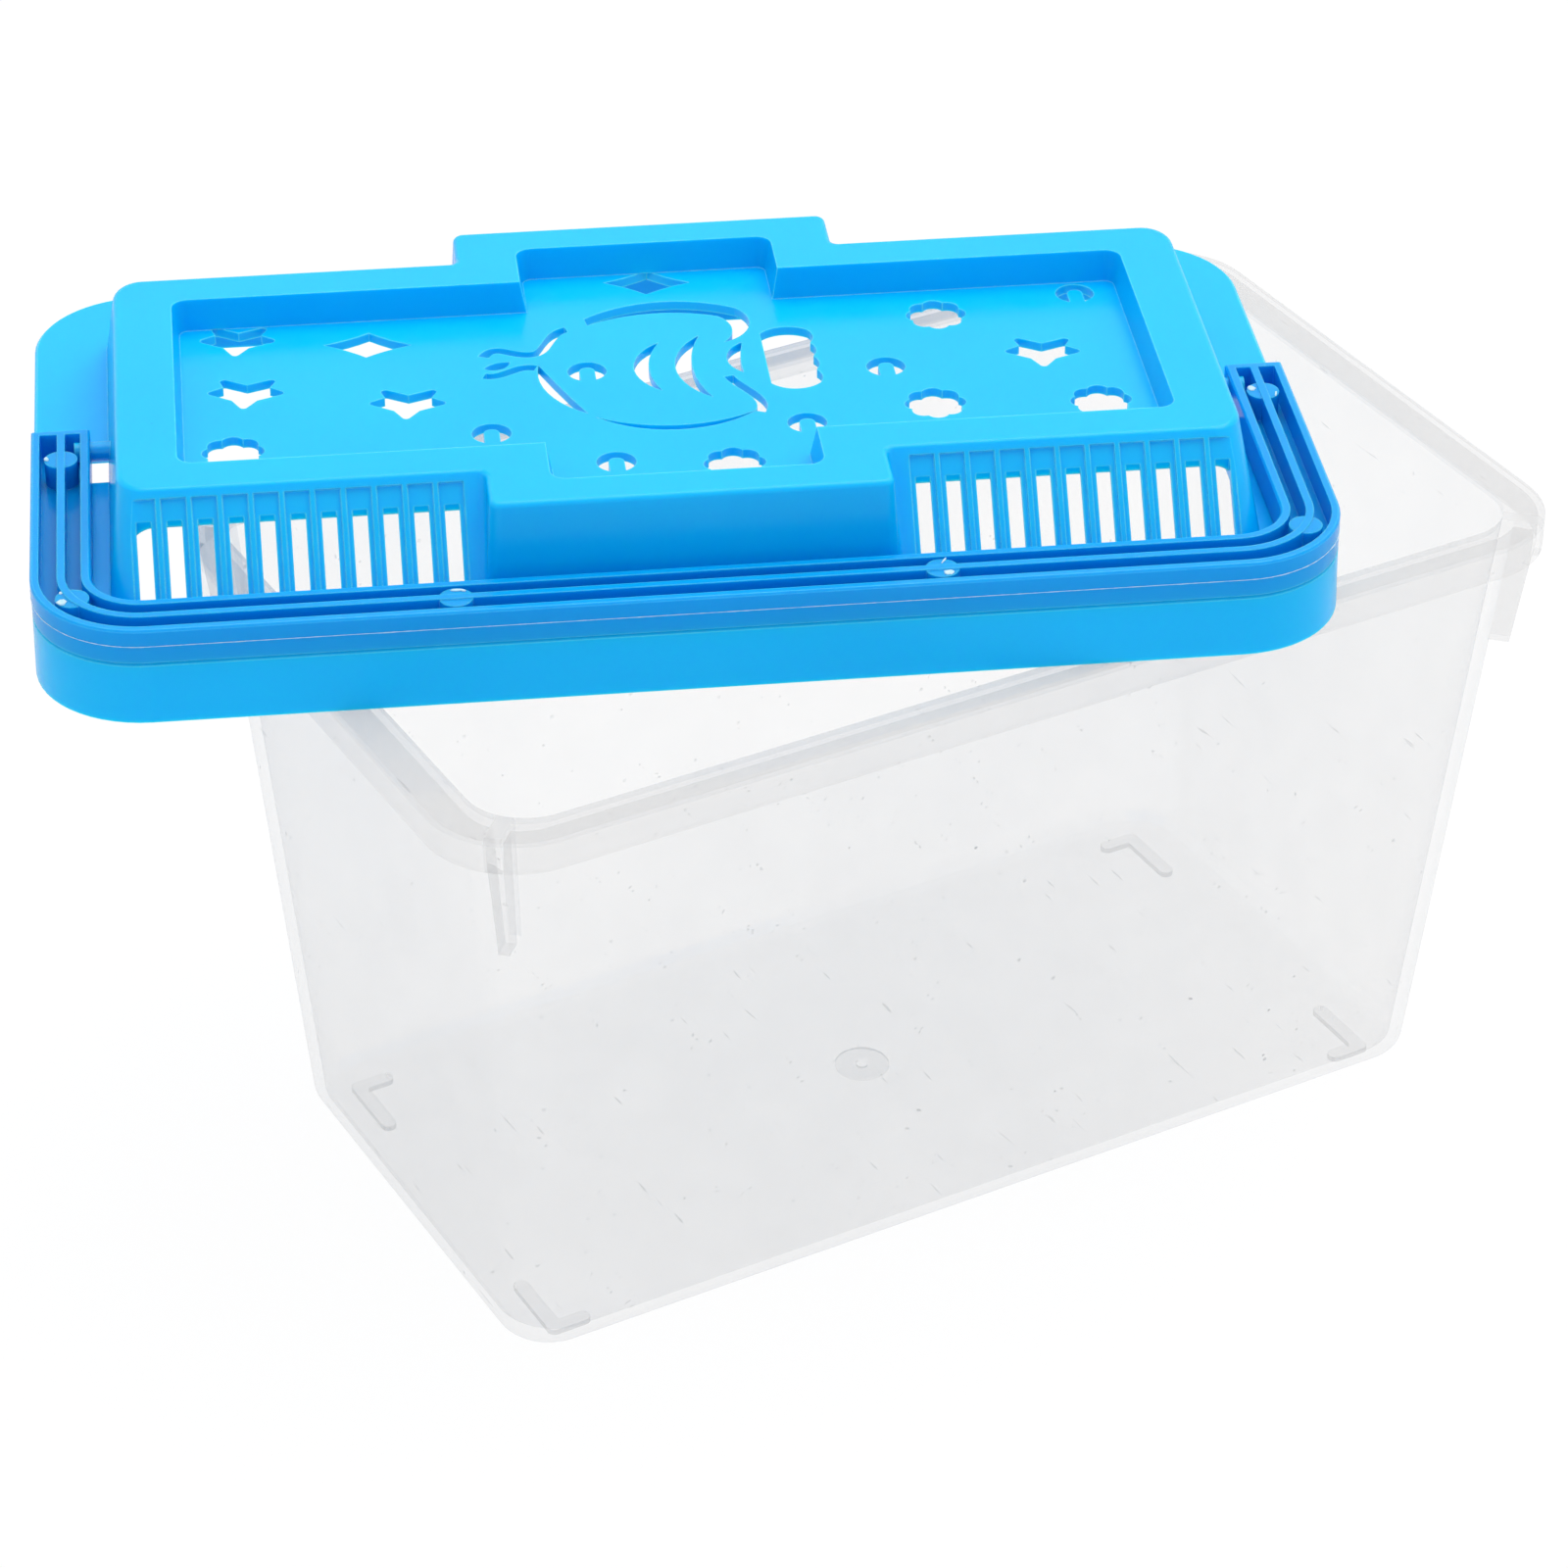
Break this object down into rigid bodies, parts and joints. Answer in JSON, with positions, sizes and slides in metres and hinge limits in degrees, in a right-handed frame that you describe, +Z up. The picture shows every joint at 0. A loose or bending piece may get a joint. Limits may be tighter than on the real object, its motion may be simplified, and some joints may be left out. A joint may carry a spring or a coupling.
{
  "type": "fish tank",
  "caption": "Clear tapered plastic fish tank with a loose vented lid, pierced with a fish and bubble pattern, and a swinging carrying handle.",
  "frame": {"origin": "on the surface that the tank stands on, under the middle of the tank", "axes": "+X along the tank toward its right end, +Y from its front to its back, +Z up"},
  "size_m": [0.2791, 0.2092, 0.162],
  "materials": {
    "clear_plastic": "clear, glossy",
    "blue_lid_plastic": "glossy",
    "blue_handle_plastic": "glossy"
  },
  "bodies": {
    "tank": {"tank": "clear_plastic"},
    "lid": {"lid": "blue_lid_plastic"},
    "handle": {"handle": "blue_handle_plastic"}
  },
  "joints": [
    {"name": "lid_lift", "type": "slide", "parent": "tank", "child": "lid", "axis": [0, 0, 1], "range_m": [0, 0.1]},
    {"name": "handle_swing", "type": "hinge", "parent": "lid", "child": "handle", "pos_m": [-0.02899, 0.02724, 0.1471], "axis": [-0.9239, 0.3827, 0], "range_deg": [0, 90]}
  ]
}
